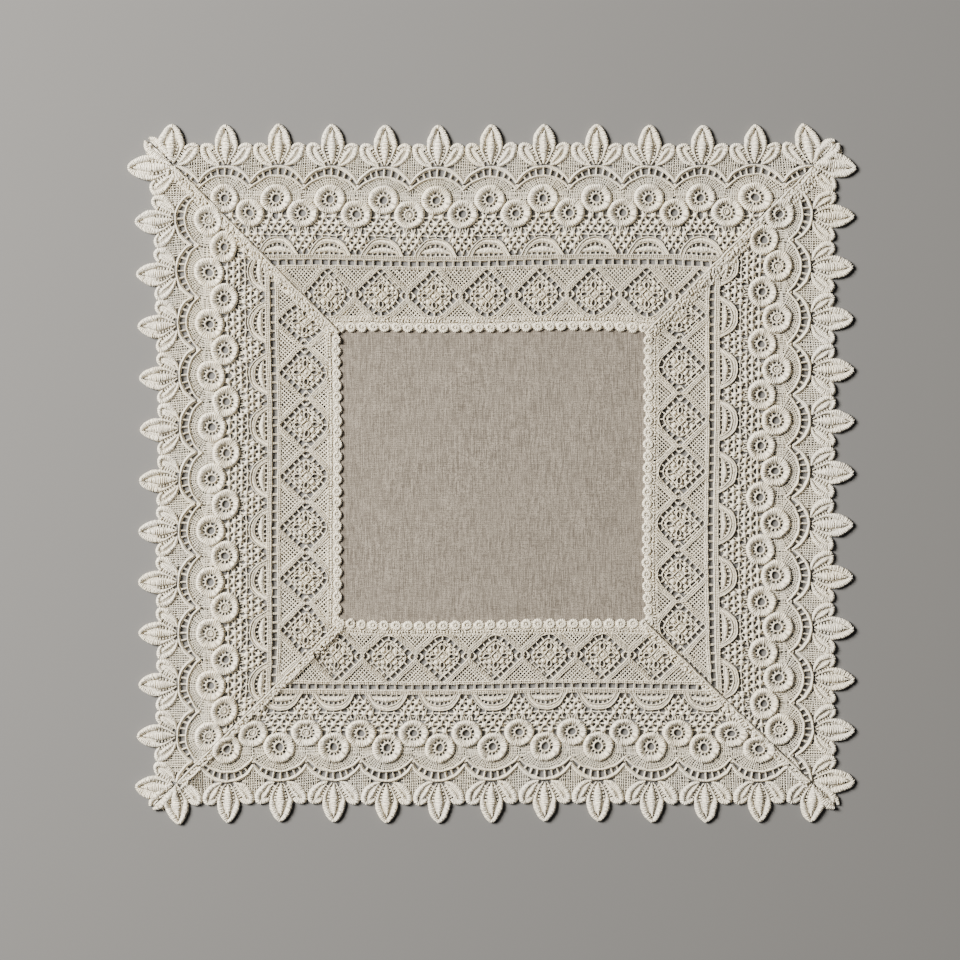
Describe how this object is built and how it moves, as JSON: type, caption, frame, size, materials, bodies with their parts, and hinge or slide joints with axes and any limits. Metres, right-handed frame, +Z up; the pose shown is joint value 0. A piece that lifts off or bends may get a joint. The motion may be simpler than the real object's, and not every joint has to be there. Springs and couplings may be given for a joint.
{
  "type": "lace doily",
  "caption": "Square table doily lying flat: a plain linen centre edged with mitred lengths of white guipure lace that end in leaves.",
  "frame": {"origin": "middle of the doily's outline, on the surface that it lies on", "axes": "+Z up, out of the right side of the cloth; +X along the wider way of the doily, +Y towards its top length of lace"},
  "size_m": [0.3054, 0.2938, 0.0035],
  "materials": {
    "lace": "white cotton guipure lace, satin stitched",
    "linen": "natural linen, plain weave"
  },
  "bodies": {
    "root": {"linen_centre": "linen", "lace_top": "lace", "lace_right": "lace", "lace_bottom": "lace", "lace_left": "lace"}
  },
  "joints": []
}
